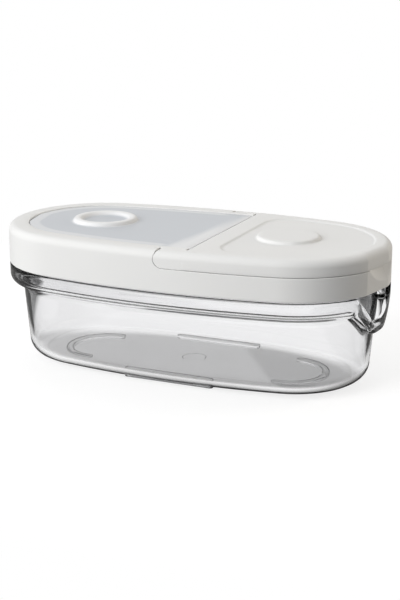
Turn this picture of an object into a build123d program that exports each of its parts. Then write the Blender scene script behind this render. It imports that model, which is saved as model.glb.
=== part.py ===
"""Low oblong dry-food dispenser: clear tub, white lid with a frosted window and a pour flap.

Frame: millimetres, +Z up, the origin on the surface under the middle of the tub.
+X runs along the length, towards the pouring end.
"""
from build123d import *
from math import atan2, cos, degrees, radians, sin
import os

os.makedirs("parts", exist_ok=True)

# ---- driving dimensions -------------------------------------------------------------
# plan outline of the lid: a four-arc oval
length = 180.0
width = 93.0
side_bow = 4.0              # how much the long sides bulge past the round ends

# heights above the surface that the tub stands on
foot_height = 1.6
flange_bottom = 36.8
flange_top = 45.6
tub_rim_top = 49.0
lid_height = 17.9
lid_lift = 0.4              # gap between the flange and the lid's lower edge
seam_rise = 10.55           # from the lid's lower edge up to the flap's lower edge

# tub
tub_inset = 5.8             # from the lid outline in to the tub's wall
tub_draft = 4.6             # degrees that the walls lean in
tub_wall = 2.0
tub_floor = 2.2
tub_base_round = 7.5
flange_round = 3.8
foot_width = 3.4
side_foot_length = 43.0
side_foot_inset = 17.9      # from the lid outline in to the straight feet
end_foot_back = 1.7         # the C feet's centres, this far in from the end arcs' centres
end_foot_inset = 25.6       # from the end arc in to the middle of a C foot
gate_radius = 5.5
gate_depth = 0.5

# pouring end: a flat on the lid, a finger scoop in it and a pocket in the tub's flange
facet_turn = -12.0          # degrees from +X, about the centre of the end arc
dip_turn = -10.0
grip_turn = -6.0            # of the scoop and of the pocket
facet_depth = 1.0
scoop_drop = 6.2            # from the seam down to the scoop's lowest point
scoop_half_width = 15.0
scoop_sphere = 44.0
pocket_drop = 9.6           # from the flange's underside down to the pocket's
pocket_top_half = 22.9
pocket_low_half = 6.1
pocket_round = 7.0
pocket_draft = 6.0
dip_drop = 12.3             # from the flange's top edge down to the lip
dip_top_half = 15.3
dip_low_half = 4.6
dip_round = 5.0

# lid frame
skirt_wall = 2.2
lid_top_round = 3.5
deck_thickness = 2.5
window_inset = 9.4
window_thickness = 2.0
window_sink = 0.3           # the panel lies this much under the lid's top face
window_ledge = 4.0
ledge_thickness = 2.0
groove_gap = 0.4            # each side of the tub's rim in the seal groove
groove_wall = 1.3
rib_lift = 1.0              # the seal ribs stop this far above the lid's lower edge
seal_thickness = 2.2
seal_gap = 0.4              # under the seal, above the tub's rim
bulkhead = 2.4

# flap and its hinge
flap_rear = 14.5
arm_reach = 9.1             # from the flap's rear edge back to the pivot
knuckle_radius = 3.95
knuckle_gap = 0.25
arm_width = 6.3             # of a flap arm, where the lid is widest
arm_root_length = 8.0       # the flap's rim is solid this far forward of its rear edge
pin_radius = 1.3
pin_length = 2.2
pin_clearance = 0.06
bore_web = 0.5              # left between a blind bore and the space under the window
relief_reach = 3.6          # frame cut back this far behind the pivot, for the open flap
flap_plate = 2.2
part_gap = 0.2              # between pieces that pass or lie beside each other
edge_gap = 0.7              # between the flap's rear edge and the window

# pouring hole, its collar and the flap's seal
hole_inset = 14.0
hole_back = 12.5            # from the flap's rear edge to the hole
hole_corner = 8.0
collar_wall = 1.5
collar_height = 3.9
flap_rib = 1.3
flap_rib_height = 1.9
seal_overhang = 0.6         # the flap seal reaches this far past the collar, both sides
seal_play = 0.1             # between the flap seal and the collar

# marks on the top
ring_back = 2.4             # the ring's centre, this far in from the end arc's centre
ring_outer = 14.7
ring_inner = 10.6
ring_height = 2.0
disc_back = 2.5
disc_radius = 13.7
disc_height = 1.6
recess_inset = 7.4
recess_back = 10.0          # from the flap's rear edge to the recess
recess_corner = 12.0
recess_depth = 0.6

# ---- derived sizes ------------------------------------------------------------------
end_radius = width / 2 - side_bow
end_centre = length / 2 - end_radius
side_radius = (end_centre**2 + (width / 2) ** 2 - end_radius**2) / (width - 2 * end_radius)
side_centre = side_radius - width / 2
join_angle = degrees(atan2(side_centre, end_centre))

side_foot_y = width / 2 - side_foot_inset
end_foot_x = end_centre - end_foot_back
end_foot_radius = end_radius - end_foot_inset
arm_inner_y = width / 2 - arm_width
pivot_x = flap_rear - arm_reach
hole_rear = flap_rear + hole_back
recess_rear = flap_rear + recess_back
ring_x = ring_back - end_centre
disc_x = end_centre - disc_back

lid_bottom = flange_top + lid_lift
lid_top = lid_bottom + lid_height
seam = lid_bottom + seam_rise
ledge_top = seam - knuckle_gap                   # top of the frame under the flap
deck_bottom = ledge_top - deck_thickness
pivot_z = seam + knuckle_radius
pocket_radius = knuckle_radius + knuckle_gap
flap_underside = lid_top - flap_plate
window_bottom = lid_top - window_sink - window_thickness
window_edge = flap_rear - edge_gap
groove_outer = tub_inset - groove_gap
groove_inner = tub_inset + tub_wall + groove_gap
seal_bottom = tub_rim_top + seal_gap
groove_top = seal_bottom + seal_thickness
carrier_inner = groove_inner + groove_wall
rib_bottom = lid_bottom + rib_lift
collar_top = ledge_top + collar_height
facet_reach = end_radius - facet_depth
seal_outer = collar_wall + seal_overhang
arm_root = flap_rear + arm_root_length
reach = length                                   # longer than any cut needs


def oval(inset=0.0):
    """The lid's four-arc outline, drawn smaller all round by inset, in the open sketch."""
    end_r = end_radius - inset
    side_r = side_radius - inset
    with BuildLine() as outline:
        CenterArc((end_centre, 0), end_r, -join_angle, 2 * join_angle)
        CenterArc((0, -side_centre), side_r, join_angle, 180 - 2 * join_angle)
        CenterArc((-end_centre, 0), end_r, 180 - join_angle, 2 * join_angle)
        CenterArc((0, side_centre), side_r, 180 + join_angle, 180 - 2 * join_angle)
    return make_face(outline.edges())


def ring(outer, inner):
    """The band between two insets of the outline, in the open sketch."""
    oval(outer)
    with BuildSketch() as hole:
        oval(inner)
    add(hole.sketch, mode=Mode.SUBTRACT)


def spout_plane(degrees_round, out):
    """Upright plane at the pouring end, out from the end arc's centre, facing outward."""
    turn = radians(degrees_round)
    return Plane(
        origin=(end_centre + out * cos(turn), out * sin(turn), 0),
        x_dir=(-sin(turn), cos(turn), 0),
        z_dir=(cos(turn), sin(turn), 0),
    )


def taper_profile(top, low, top_half, low_half, round_radius):
    """A symmetric trapezium, narrow end down, with its two low corners rounded."""
    with BuildLine() as outline:
        Polyline((-top_half, top), (-low_half, low), (low_half, low), (top_half, top), close=True)
    face = make_face(outline.edges())
    fillet(face.vertices().sort_by(Axis.Y)[:2], radius=round_radius)


def oval_right_of(inset, edge, corner):
    """The part of the inset outline at x > edge, its two new corners rounded."""
    with BuildSketch() as shape:
        oval(inset)
        with Locations((edge + reach / 2, 0)):
            Rectangle(reach, reach, mode=Mode.INTERSECT)
        fillet(shape.vertices().group_by(Axis.X)[0], radius=corner)
    add(shape.sketch)


def oval_left_of(inset, edge):
    """The part of the inset outline at x < edge, in the open sketch."""
    with BuildSketch() as shape:
        oval(inset)
        with Locations((edge - reach / 2, 0)):
            Rectangle(reach, reach, mode=Mode.INTERSECT)
    add(shape.sketch)


def hole_outline(grow):
    """The pouring hole's outline, grown all round."""
    oval_right_of(hole_inset - grow, hole_rear - grow, hole_corner + grow)


def hole_band(outer, inner):
    """The band between two sizes of the pouring hole's outline."""
    hole_outline(outer)
    with BuildSketch() as middle:
        hole_outline(inner)
    add(middle.sketch, mode=Mode.SUBTRACT)


# ---- tub ----------------------------------------------------------------------------
def tub_form(inset, floor, base_round, top):
    """The tub's wall surface as a solid: leaning walls to the flange, upright above it."""
    with BuildPart() as form:
        with BuildSketch(Plane.XY.offset(flange_bottom)):
            oval(tub_inset + inset)
        extrude(amount=-(flange_bottom - floor), taper=tub_draft)
        fillet(form.edges().group_by(Axis.Z)[0], radius=base_round)
        with BuildSketch(Plane.XY.offset(flange_bottom)):
            oval(tub_inset + inset)
        extrude(amount=top - flange_bottom)
    return form.part


def apron_form(inset):
    """The flange and the pocket under it, or with an inset the space inside them."""
    low = flange_bottom + inset
    with BuildPart() as form:
        with BuildSketch(Plane.XY.offset(low)):
            oval(inset)
        extrude(amount=flange_top - low)
        fillet(form.edges().group_by(Axis.Z)[0], radius=flange_round - inset)
    pocket_low = flange_bottom - pocket_drop + inset
    with BuildPart() as pocket:
        with BuildSketch(spout_plane(grip_turn, end_radius - 2 * tub_inset)):
            taper_profile(
                low + flange_round,
                pocket_low,
                pocket_top_half - inset,
                pocket_low_half,
                pocket_round - inset,
            )
        extrude(amount=3 * tub_inset)
        with BuildSketch(Plane.XY.offset(flange_bottom + flange_round)):
            oval(inset)
        extrude(amount=-(flange_round + pocket_drop), taper=pocket_draft, mode=Mode.INTERSECT)
    with BuildPart() as both:
        add(form.part)
        add(pocket.part)
    return both.part


tub_outer = tub_form(0, foot_height, tub_base_round, tub_rim_top)
tub_inner = tub_form(tub_wall, foot_height + tub_floor, tub_base_round - tub_wall, tub_rim_top)

end_foot_line = CenterArc((0, 0), end_foot_radius, -90, 180)

with BuildPart() as container:
    add(apron_form(0))
    add(apron_form(tub_wall), mode=Mode.SUBTRACT)
    with BuildSketch(spout_plane(dip_turn, end_radius - tub_inset + part_gap)):
        taper_profile(flange_top, flange_top - dip_drop, dip_top_half, dip_low_half, dip_round)
    extrude(amount=2 * tub_inset, mode=Mode.SUBTRACT)
    add(tub_outer)
    add(tub_inner, mode=Mode.SUBTRACT)
    with BuildSketch():
        with Locations((0, side_foot_y), (0, -side_foot_y)):
            SlotOverall(side_foot_length, foot_width)
        with Locations((end_foot_x, 0), Location((-end_foot_x, 0, 0), (0, 0, 180))):
            SlotArc(end_foot_line, foot_width)
    extrude(amount=foot_height)
    with Locations((0, 0, foot_height)):
        Cylinder(gate_radius, 2 * gate_depth, mode=Mode.SUBTRACT)
container.part.label = "container"
export_step(container.part, "parts/container.step")


# ---- lid: the outer form that the frame and the flap share -----------------------------
with BuildPart() as lid_form:
    with BuildSketch(Plane.XY.offset(lid_bottom)):
        oval()
    extrude(amount=lid_height)
    with BuildSketch(spout_plane(facet_turn, facet_reach)):
        with Locations((0, lid_top / 2)):
            Rectangle(width, 2 * lid_top)
    extrude(amount=2 * facet_depth, mode=Mode.SUBTRACT)
    fillet(lid_form.edges().group_by(Axis.Z)[-1], radius=lid_top_round)


def side_profile(radius, relief):
    """Side view of a flap arm: a round end on the pivot and the strip that runs forward."""
    with Locations((pivot_x, pivot_z)):
        Circle(radius)
    with Locations((pivot_x + reach / 2, pivot_z - radius + reach / 2)):
        Rectangle(reach, reach)
    if relief:
        with Locations((pivot_x - relief + reach / 2, pivot_z + reach / 2)):
            Rectangle(reach, reach)


def both_arms(radius, inner_y, relief):
    """Solid strips over both flap arms, outward from inner_y."""
    with BuildPart() as strips:
        for side in (1, -1):
            with BuildSketch(Plane.XZ.offset(-side * inner_y)):
                side_profile(radius, relief)
            extrude(amount=-side * width)
    return strips.part


# ---- lid frame ------------------------------------------------------------------------
crossbar_top = flap_underside - 2 * knuckle_gap
bulkhead_front = flap_rear + bulkhead
ledge_bottom = window_bottom - ledge_thickness
chamber_top = lid_top - deck_thickness
bore_depth = pin_length + part_gap
hinge_wall_y = arm_inner_y - part_gap - bore_depth - bore_web
opening_rear = window_edge - window_ledge
hinge_zone_x = pivot_x - pocket_radius - skirt_wall

with BuildPart() as lid_frame:
    add(lid_form.part)
    # open under the deck
    with BuildSketch(Plane.XY.offset(lid_bottom)):
        oval(skirt_wall)
    extrude(amount=deck_bottom - lid_bottom, mode=Mode.SUBTRACT)
    # seal carrier: two ribs with the groove between them
    with BuildSketch(Plane.XY.offset(rib_bottom)):
        ring(groove_outer - groove_wall, carrier_inner)
    extrude(amount=deck_bottom - rib_bottom)
    with BuildSketch(Plane.XY.offset(rib_bottom)):
        ring(groove_outer, groove_inner)
    extrude(amount=groove_top - rib_bottom, mode=Mode.SUBTRACT)
    # left side: the space under the window
    with BuildSketch(Plane.XY.offset(deck_bottom)):
        oval_left_of(carrier_inner, flap_rear)
    extrude(amount=ledge_top - deck_bottom, mode=Mode.SUBTRACT)
    with BuildSketch(Plane.XY.offset(ledge_top)):
        oval_left_of(skirt_wall, hinge_zone_x)
        with Locations(((flap_rear + hinge_zone_x) / 2, 0)):
            Rectangle(flap_rear - hinge_zone_x, 2 * hinge_wall_y)
    extrude(amount=chamber_top - ledge_top, mode=Mode.SUBTRACT)
    with BuildSketch(Plane.XY.offset(ledge_bottom)):
        oval_left_of(window_inset - ledge_thickness, flap_rear)
    extrude(amount=window_bottom - ledge_bottom)
    with BuildSketch(Plane.XY.offset(ledge_bottom)):
        oval_left_of(window_inset + window_ledge, opening_rear)
    extrude(amount=reach, mode=Mode.SUBTRACT)
    with BuildSketch(Plane.XY.offset(window_bottom)):
        oval_left_of(window_inset - part_gap / 2, flap_rear)
    extrude(amount=reach, mode=Mode.SUBTRACT)
    # right side: cleared down to the deck for the flap
    with BuildSketch(Plane.XY.offset(crossbar_top)):
        with Locations((window_edge + part_gap / 2 + reach / 2, 0)):
            Rectangle(reach, reach)
    extrude(amount=reach, mode=Mode.SUBTRACT)
    with BuildSketch(Plane.XY.offset(ledge_top)):
        with Locations((bulkhead_front + reach / 2, 0)):
            Rectangle(reach, reach)
    extrude(amount=reach, mode=Mode.SUBTRACT)
    add(both_arms(pocket_radius, arm_inner_y - part_gap, relief_reach), mode=Mode.SUBTRACT)
    # pouring hole and its collar
    with BuildSketch(Plane.XY.offset(ledge_top)):
        hole_outline(collar_wall)
    extrude(amount=collar_height)
    with BuildSketch(Plane.XY.offset(rib_bottom)):
        hole_outline(0)
    extrude(amount=reach, mode=Mode.SUBTRACT)
    # blind bores for the flap's pins
    for side in (1, -1):
        with BuildSketch(Plane.XZ.offset(-side * (arm_inner_y - part_gap))):
            with Locations((pivot_x, pivot_z)):
                Circle(pin_radius + pin_clearance)
        extrude(amount=side * bore_depth, mode=Mode.SUBTRACT)
    # patch behind the scoop, then the scoop
    with BuildSketch(Plane.XY.offset(rib_bottom)):
        ring(skirt_wall / 2, groove_outer)
        with Locations(Location((end_centre, 0, 0), (0, 0, grip_turn)) * Location((end_radius, 0))):
            Rectangle(end_radius, 2 * scoop_half_width + 2 * skirt_wall, mode=Mode.INTERSECT)
    extrude(amount=ledge_top - rib_bottom)
    scoop_rise = (scoop_half_width**2 + scoop_drop**2) / (2 * scoop_drop)
    scoop_stand = (scoop_sphere**2 - scoop_rise**2) ** 0.5
    scoop_height = seam - scoop_drop + scoop_rise
    scoop_middle = spout_plane(grip_turn, facet_reach + scoop_stand)
    scoop_place = scoop_middle.location * Location((0, scoop_height, 0))
    with Locations(scoop_place):
        Sphere(scoop_sphere, mode=Mode.SUBTRACT)
lid_frame.part.label = "lid_frame"
export_step(lid_frame.part, "parts/lid_frame.step")

# ---- window -----------------------------------------------------------------------------
with BuildPart() as window_panel:
    with BuildSketch(Plane.XY.offset(window_bottom)):
        oval_left_of(window_inset, window_edge)
    extrude(amount=window_thickness)
    with BuildSketch(Plane.XY.offset(window_bottom + window_thickness)):
        with Locations((ring_x, 0)):
            Circle(ring_outer)
            Circle(ring_inner, mode=Mode.SUBTRACT)
    extrude(amount=ring_height)
    fillet(window_panel.edges().group_by(Axis.Z)[-1], radius=ring_height / 2)
window_panel.part.label = "window_panel"
export_step(window_panel.part, "parts/window_panel.step")

# ---- lid seal -----------------------------------------------------------------------------
with BuildPart() as lid_seal:
    with BuildSketch(Plane.XY.offset(seal_bottom)):
        ring(groove_outer + part_gap / 2, groove_inner - part_gap / 2)
    extrude(amount=seal_thickness)
lid_seal.part.label = "lid_seal"
export_step(lid_seal.part, "parts/lid_seal.step")

# ---- pour flap ----------------------------------------------------------------------------
with BuildPart() as flap_limits:
    with BuildSketch(Plane.XY.offset(seam)):
        with Locations((flap_rear + reach / 2, 0)):
            Rectangle(reach, reach)
    extrude(amount=reach)
    add(both_arms(knuckle_radius, arm_inner_y, 0))

with BuildPart() as pour_flap:
    add(lid_form.part)
    add(flap_limits.part, mode=Mode.INTERSECT)
    with BuildSketch(Plane.XY.offset(seam)):
        oval_left_of(skirt_wall, length)
        with Locations((arm_root - reach / 2, 0)):
            Rectangle(reach, 2 * width, mode=Mode.SUBTRACT)
        with Locations((arm_root, 0)):
            Rectangle(2 * (arm_root - flap_rear), 2 * arm_inner_y)
    extrude(amount=flap_underside - seam, mode=Mode.SUBTRACT)
    with BuildSketch(Plane.XY.offset(lid_top - recess_depth)):
        oval_right_of(recess_inset, recess_rear, recess_corner)
    extrude(amount=recess_depth, mode=Mode.SUBTRACT)
    with BuildSketch(Plane.XY.offset(lid_top - recess_depth)):
        with Locations((disc_x, 0)):
            Circle(disc_radius)
    extrude(amount=disc_height)
    fillet(pour_flap.edges().group_by(Axis.Z)[-1], radius=disc_height / 2)
    # ribs that hold the seal
    with BuildSketch(Plane.XY.offset(flap_underside)):
        hole_band(seal_outer + part_gap + flap_rib, seal_outer + part_gap)
        hole_band(-seal_overhang - part_gap, -seal_overhang - part_gap - flap_rib)
    extrude(amount=-flap_rib_height)
    # pins
    for side in (1, -1):
        with BuildSketch(Plane.XZ.offset(-side * arm_inner_y)):
            with Locations((pivot_x, pivot_z)):
                Circle(pin_radius)
        extrude(amount=side * pin_length)
pour_flap.part.label = "pour_flap"
export_step(pour_flap.part, "parts/pour_flap.step")

# ---- flap seal ------------------------------------------------------------------------------
with BuildPart() as flap_seal:
    with BuildSketch(Plane.XY.offset(collar_top + seal_play)):
        hole_band(seal_outer, -seal_overhang)
    extrude(amount=flap_underside - collar_top - seal_play)
flap_seal.part.label = "flap_seal"
export_step(flap_seal.part, "parts/flap_seal.step")
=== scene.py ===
# %% [markdown]
# # A dry-food dispenser box
# The object is a low oblong box of clear plastic with a white lid. Half of the lid is a frosted
# window, and the other half is a flap that turns up for pouring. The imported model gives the
# overall size, and the measures below repeat those of its solids. All six pieces are worked out
# anew as smooth grids, because light bends in the clear tub and every flat facet of a plain mesh
# would show. Then they get their finishes, a floor, light and a camera.

import bpy
import numpy as np
from mathutils import Matrix, Vector


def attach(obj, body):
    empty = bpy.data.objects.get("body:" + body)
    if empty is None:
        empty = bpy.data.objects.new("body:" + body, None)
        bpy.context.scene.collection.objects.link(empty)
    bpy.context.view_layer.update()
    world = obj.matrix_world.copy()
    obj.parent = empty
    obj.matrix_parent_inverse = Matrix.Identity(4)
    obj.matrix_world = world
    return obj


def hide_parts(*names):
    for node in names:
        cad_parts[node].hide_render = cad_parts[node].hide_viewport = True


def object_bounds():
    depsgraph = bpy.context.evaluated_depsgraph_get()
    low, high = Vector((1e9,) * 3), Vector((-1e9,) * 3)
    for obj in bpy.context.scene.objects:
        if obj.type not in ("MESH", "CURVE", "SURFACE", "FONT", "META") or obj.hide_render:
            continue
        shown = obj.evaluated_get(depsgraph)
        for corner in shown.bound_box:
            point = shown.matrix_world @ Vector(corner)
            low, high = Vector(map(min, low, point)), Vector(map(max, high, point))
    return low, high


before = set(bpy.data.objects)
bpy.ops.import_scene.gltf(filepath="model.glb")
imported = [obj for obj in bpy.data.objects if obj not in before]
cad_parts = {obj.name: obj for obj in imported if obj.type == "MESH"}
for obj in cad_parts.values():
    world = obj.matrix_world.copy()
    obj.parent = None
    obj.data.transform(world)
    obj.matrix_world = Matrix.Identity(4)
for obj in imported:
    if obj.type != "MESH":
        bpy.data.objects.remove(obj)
low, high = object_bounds()

# %% [markdown]
# ## The outline
# Seen from above, the box is an oval of four arcs: two round ends and two almost flat sides.
# Each arc meets the next with a common tangent, so a point is fixed by the direction in which
# the outline faces there. An inset makes each radius smaller by the same amount, which keeps the
# facing direction: that is what lets one profile be carried all the way round.

# %% measures of the outline, millimetres
LENGTH = 1000 * (high.x - low.x)
WIDTH = 1000 * (high.y - low.y)
END_RADIUS = 42.5
END_CENTRE = LENGTH / 2 - END_RADIUS
SIDE_RADIUS = (END_CENTRE**2 + (WIDTH / 2) ** 2 - END_RADIUS**2) / (WIDTH - 2 * END_RADIUS)
SIDE_CENTRE = SIDE_RADIUS - WIDTH / 2
JOIN = np.arctan2(SIDE_CENTRE, END_CENTRE)
FLAT_TURN, DIP_TURN, GRIP_TURN = np.radians([-12.0, -10.0, -6.0])
print("side radius", round(SIDE_RADIUS, 1), "arcs meet at", round(np.degrees(JOIN), 2), "degrees")


# %% points on the outline
def outline(facing, inset=0.0):
    """x, y on the oval: the arc's centre plus (its radius less the inset) in the facing direction."""
    facing = np.mod(np.asarray(facing, float), 2 * np.pi)
    arcs = [
        (facing <= JOIN) | (facing >= 2 * np.pi - JOIN),
        facing < np.pi - JOIN,
        facing <= np.pi + JOIN,
    ]
    centre_x = np.select(arcs, [END_CENTRE, 0.0, -END_CENTRE], 0.0)
    centre_y = np.select(arcs, [0.0, -SIDE_CENTRE, 0.0], SIDE_CENTRE)
    radius = np.select(arcs, [END_RADIUS, SIDE_RADIUS, END_RADIUS], SIDE_RADIUS) - inset
    return centre_x + radius * np.cos(facing), centre_y + radius * np.sin(facing)


def turned_from(facing, turn):
    """The facing direction measured from the given turn, between minus and plus half a circle."""
    return np.mod(np.asarray(facing) - turn + np.pi, 2 * np.pi) - np.pi


def round_stations(step):
    """Facing directions once round the oval, about one step of arc apart."""
    arcs = [
        (-JOIN, JOIN, END_RADIUS),
        (JOIN, np.pi - JOIN, SIDE_RADIUS),
        (np.pi - JOIN, np.pi + JOIN, END_RADIUS),
        (np.pi + JOIN, 2 * np.pi - JOIN, SIDE_RADIUS),
    ]
    parts = [
        np.linspace(a, b, int(round((b - a) * r / step)) + 1)[:-1] for a, b, r in arcs
    ]
    return np.concatenate(parts)


print("stations at 1 mm:", len(round_stations(1.0)))


# %% [markdown]
# ## From numbers to meshes
# Every new piece is a grid of points: the rows run along its profile, and the columns run round
# it. One function turns such grids into faces, closes their open ends with flat caps, and turns
# the faces outward where the volume that they enclose comes out negative.

# %% grid to mesh
SHARP = np.radians(35)


def grid_piece(name, grids, material, body, node=None):
    """One object of closed grids in millimetres: each is (points, whether its rows close on
    themselves), with points as (rows, columns, 3). Open rows get a cap at either end."""
    corners, faces, first = [], [], 0
    for points, ring in grids:
        rows, columns = points.shape[:2]
        index = np.arange(rows * columns).reshape(rows, columns)
        right = np.roll(index, -1, axis=1)
        above, above_right = np.roll(index, -1, axis=0), np.roll(right, -1, axis=0)
        used = slice(None) if ring else slice(0, -1)
        quads = np.stack([index[used], right[used], above_right[used], above[used]], axis=-1)
        quads = quads.reshape(-1, 4)
        flat = points.reshape(-1, 3) / 1000
        a, b, c, d = (flat[quads[:, k]] for k in range(4))
        volume = np.einsum("ij,ij->", a, np.cross(b, c)) + np.einsum("ij,ij->", a, np.cross(c, d))
        made = quads.tolist()
        if not ring:
            made += [index[0][::-1].tolist(), index[-1].tolist()]
        if volume < 0:
            made = [face[::-1] for face in made]
        faces += [[k + first for k in face] for face in made]
        corners.append(flat)
        first += len(flat)
    mesh = bpy.data.meshes.new(name)
    mesh.from_pydata(np.concatenate(corners), [], faces)
    mesh.validate()
    mesh.shade_smooth()
    mesh.set_sharp_from_angle(angle=SHARP)
    mesh.materials.append(material)
    piece = bpy.data.objects.new(name, mesh)
    bpy.context.scene.collection.objects.link(piece)
    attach(piece, body)
    if node:
        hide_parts(node)
    print(name, "faces", len(faces))
    return piece


def arc_steps(start, stop, count):
    """Cosines and sines of the angles round a corner, in degrees, both ends included."""
    angle = np.radians(np.linspace(start, stop, count))
    return np.cos(angle), np.sin(angle)


# %% [markdown]
# ## Effects that several finishes share
# Moulded plastic is never perfectly even: the colour drifts a little, the gloss varies where it
# has been handled, and the surface ripples slightly where it shrank on cooling. One node group
# makes those three from noise in the object's own coordinates, and each finish scales them.

# %% short ways to make nodes
def maths(tree, operation, *values):
    """A maths node fed by sockets or numbers; gives its result."""
    node = tree.nodes.new("ShaderNodeMath")
    node.operation = operation
    for socket, value in zip(node.inputs, values):
        if isinstance(value, float):
            socket.default_value = value
        else:
            tree.links.new(value, socket)
    return node.outputs[0]


def vector_maths(tree, operation, vector, other=None):
    """A vector maths node fed by a socket and, where it takes two, a plain vector; gives the node."""
    node = tree.nodes.new("ShaderNodeVectorMath")
    node.operation = operation
    tree.links.new(vector, node.inputs[0])
    if other:
        node.inputs[1].default_value = other
    return node


def smooth_step(tree, value, start, stop, low=0.0, high=1.0):
    """A map-range node that goes smoothly from low to high."""
    node = tree.nodes.new("ShaderNodeMapRange")
    node.interpolation_type = "SMOOTHSTEP"
    settings = {"From Min": start, "From Max": stop, "To Min": low, "To Max": high}
    for label, number in settings.items():
        node.inputs[label].default_value = number
    tree.links.new(value, node.inputs["Value"])
    return node.outputs["Result"]


# %% shared group: moulded skin
def moulded_skin_group():
    """Group: noise of two sizes makes a tone, a roughness and a height that change over the surface."""
    group = bpy.data.node_groups.new("moulded skin", "ShaderNodeTree")
    put = group.interface.new_socket
    colour_in = put("Colour", in_out="INPUT", socket_type="NodeSocketColor")
    colour_in.default_value = (0.8, 0.8, 0.8, 1)
    for label, value in (("Tone drift", 0.03), ("Roughness", 0.3), ("Gloss drift", 0.05)):
        socket = put(label, in_out="INPUT", socket_type="NodeSocketFloat")
        socket.default_value = value
    put("Colour", in_out="OUTPUT", socket_type="NodeSocketColor")
    put("Roughness", in_out="OUTPUT", socket_type="NodeSocketFloat")
    put("Height", in_out="OUTPUT", socket_type="NodeSocketFloat")
    make, link = group.nodes.new, group.links.new
    given, result = make("NodeGroupInput"), make("NodeGroupOutput")
    place = make("ShaderNodeTexCoord")
    broad, fine = make("ShaderNodeTexNoise"), make("ShaderNodeTexNoise")
    broad.inputs["Scale"].default_value = 26.0
    broad.inputs["Detail"].default_value = 2.0
    fine.inputs["Scale"].default_value = 900.0
    fine.inputs["Detail"].default_value = 3.0
    for noise in (broad, fine):
        link(place.outputs["Object"], noise.inputs["Vector"])
    centred = maths(group, "SUBTRACT", broad.outputs["Fac"], 0.5)
    drift = maths(group, "MULTIPLY_ADD", centred, given.outputs["Tone drift"], 1.0)
    tone = vector_maths(group, "SCALE", given.outputs["Colour"])
    link(drift, tone.inputs["Scale"])
    link(tone.outputs["Vector"], result.inputs["Colour"])
    gloss_drift, roughness = given.outputs["Gloss drift"], given.outputs["Roughness"]
    gloss = maths(group, "MULTIPLY_ADD", centred, gloss_drift, roughness)
    link(gloss, result.inputs["Roughness"])
    height = maths(group, "MULTIPLY_ADD", fine.outputs["Fac"], 0.3, broad.outputs["Fac"])
    link(height, result.inputs["Height"])
    return group


MOULDED = moulded_skin_group()


def finish_material(name, colour, rough, tone=0.04, gloss=0.06, ripple=0.02, painted_light=None, **sockets):
    """A plastic: the moulded skin feeds colour, roughness and bump, plain numbers set the rest.
    A painted light is a second, paler colour painted where light would show through, and the
    attribute that says where it shows."""
    material = bpy.data.materials.new(name)
    material.use_nodes = True
    tree = material.node_tree
    shader = tree.nodes["Principled BSDF"]
    skin = tree.nodes.new("ShaderNodeGroup")
    skin.node_tree = MOULDED
    skin.inputs["Colour"].default_value = (*colour, 1)
    skin.inputs["Tone drift"].default_value = tone
    skin.inputs["Roughness"].default_value = rough
    skin.inputs["Gloss drift"].default_value = gloss
    bump = tree.nodes.new("ShaderNodeBump")
    bump.inputs["Strength"].default_value = ripple
    bump.inputs["Distance"].default_value = 0.001
    # painted light: a second, paler colour, painted where the attribute says light shows through
    if painted_light:
        where = tree.nodes.new("ShaderNodeAttribute")
        where.attribute_name = painted_light[1]
        blend = tree.nodes.new("ShaderNodeMix")
        blend.data_type = "RGBA"
        blend.inputs["A"].default_value = (*colour, 1)
        blend.inputs["B"].default_value = (*painted_light[0], 1)
        tree.links.new(where.outputs["Fac"], blend.inputs["Factor"])
        tree.links.new(blend.outputs["Result"], skin.inputs["Colour"])
    tree.links.new(skin.outputs["Colour"], shader.inputs["Base Color"])
    tree.links.new(skin.outputs["Roughness"], shader.inputs["Roughness"])
    tree.links.new(skin.outputs["Height"], bump.inputs["Height"])
    tree.links.new(bump.outputs["Normal"], shader.inputs["Normal"])
    for label, value in sockets.items():
        shader.inputs[label.replace("_", " ")].default_value = value
    print("finish", name)
    return material


# %% [markdown]
# ## The four finishes
# The tub is clear acrylic-like plastic: full transmission, the bend of light of such a plastic,
# and a trace of roughness. The lid is a satin white. The window is a plastic without pigment and
# matt, so it looks bluish grey; it is painted paler where it is thick or backed, as painted light
# that would scatter in it or show through it. The seals are soft and pale.

# %% finishes
clear = finish_material(
    "clear plastic", (0.963, 0.963, 0.968), 0.02, tone=0.01, gloss=0.01, ripple=0.004,
    Transmission_Weight=1.0, IOR=1.49,
)
white = finish_material("white lid plastic", (0.80, 0.80, 0.79), 0.5, ripple=0.015, IOR=1.45)
# painted light: the window is painted paler where light would show through it from the white parts
# behind or scatter in its thick ring
frosted = finish_material(
    "frosted window plastic", (0.565, 0.59, 0.625), 0.42, ripple=0.02,
    painted_light=((0.86, 0.86, 0.86), "painted_through_light"), IOR=1.45,
)
soft = finish_material("seal rubber", (0.72, 0.72, 0.71), 0.6, gloss=0.1, ripple=0.05)

# %% [markdown]
# ## The tub
# One closed profile goes round the oval: the base, its round edge, the leaning wall, the flange
# that hangs out over it, the flange's rim, the narrow channel inside that, the rim that enters the
# lid, and back down inside to the floor. At the pouring end the flange drops into a pocket for
# the fingertips, and its rim dips. Those two change the profile's heights from station to station,
# so the same sweep makes them, with every edge softly rounded as a mould leaves it.

# %% measures of the tub, millimetres
BASE = 1.6
FLOOR = 3.8
FLANGE_LOW = 36.8
FLANGE_TOP = 45.6
RIM = 49.0
WALL = 2.0
WALL_INSET = 5.8
DRAFT = 4.6
FLANGE_ROUND, POCKET_ROUND = 3.8, 1.2
POCKET_LEAN = np.tan(np.radians(6.0))
BASE_ROUND, INNER_ROUND = 7.5, 5.5
EDGE, RIM_EDGE = 0.5, 0.6


def wall_inset(height):
    """The tub wall's inset: constant down to the flange, then more by the draft."""
    return WALL_INSET + np.maximum(FLANGE_LOW - height, 0) * np.tan(np.radians(DRAFT))


def soft_least(a, b, blend):
    """The lesser of two heights, with the crossing rounded over about the blend."""
    return -blend * np.logaddexp(-a / blend, -b / blend)


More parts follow.
